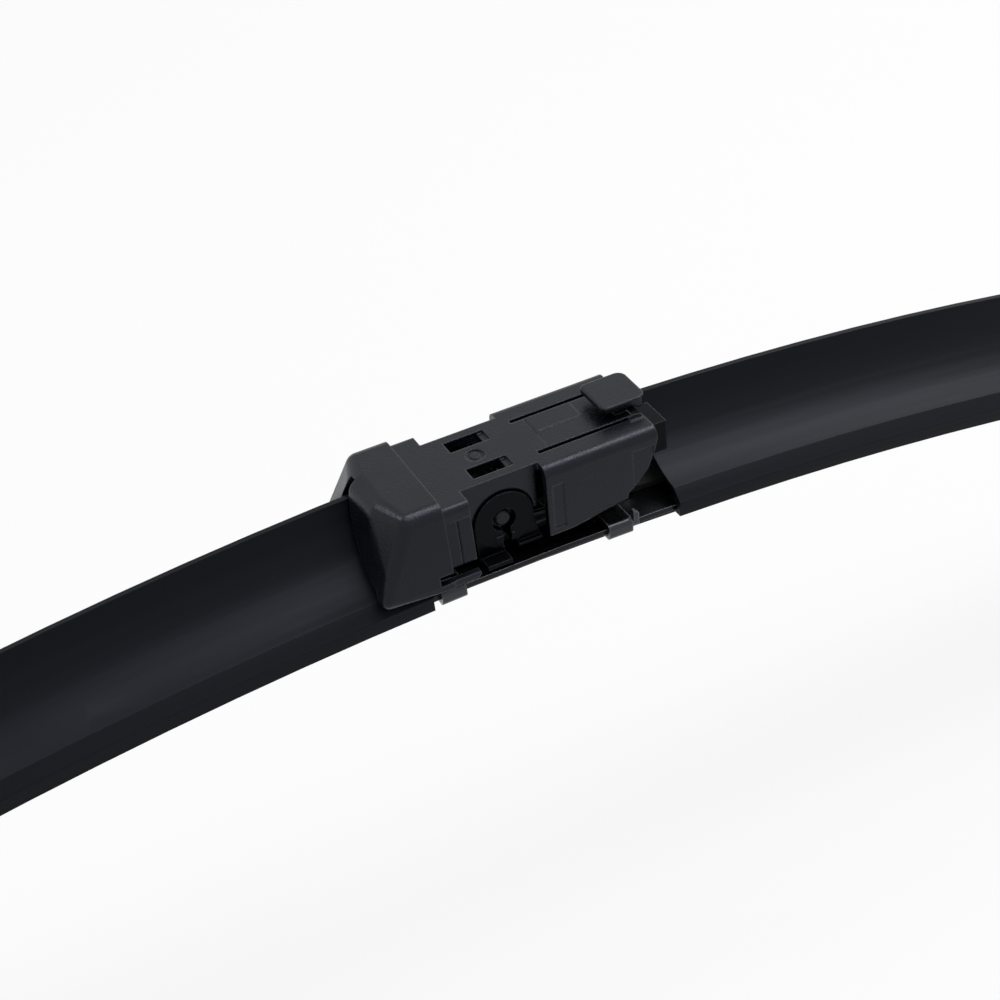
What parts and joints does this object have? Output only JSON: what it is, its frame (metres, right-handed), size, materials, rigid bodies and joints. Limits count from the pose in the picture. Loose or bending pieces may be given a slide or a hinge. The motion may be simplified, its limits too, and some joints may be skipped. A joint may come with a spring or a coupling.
{
  "type": "flat wiper blade",
  "caption": "Bowed flat wiper blade: spring rails, rubber squeegee and hollow spoiler, with a rocking push-button connector under a rounded hood.",
  "frame": {"origin": "centre of the pin that the blade rocks on, on the middle plane of the arm's channel", "axes": "+X along the blade, from the hood towards the button; +Y to the rear, the side of the spoiler's ridge; +Z away from the glass"},
  "size_m": [0.546, 0.0242, 0.0916],
  "materials": {
    "rail_steel": "gloss black coated spring steel",
    "bracket_steel": "gloss black coated pressed steel",
    "pin_steel": "satin blackened steel",
    "rubber": "matt natural rubber",
    "spoiler_plastic": "satin black extruded elastomer",
    "moulded_plastic": "satin black moulded plastic with a fine grain"
  },
  "bodies": {
    "adapter": {"adapter": "moulded_plastic", "connector_seat": "moulded_plastic"},
    "latch": {"latch_tongue": "moulded_plastic"},
    "blade": {"rail_front": "rail_steel", "rail_rear": "rail_steel", "wiping_rubber": "rubber", "spoiler_left": "spoiler_plastic", "spoiler_right": "spoiler_plastic", "end_cap_left": "moulded_plastic", "end_cap_right": "moulded_plastic", "bracket": "bracket_steel", "pivot_pin": "pin_steel"}
  },
  "joints": [
    {"name": "blade_rock", "type": "hinge", "parent": "adapter", "child": "blade", "pos_m": [0, 0, 0], "axis": [0, 1, 0], "range_deg": [-5, 5]},
    {"name": "button_press", "type": "hinge", "parent": "adapter", "child": "latch", "pos_m": [0.0101, 0, 0.0066], "axis": [0, 1, 0], "range_deg": [0, 7], "stiffness_Nm_per_rad": 0.9}
  ]
}
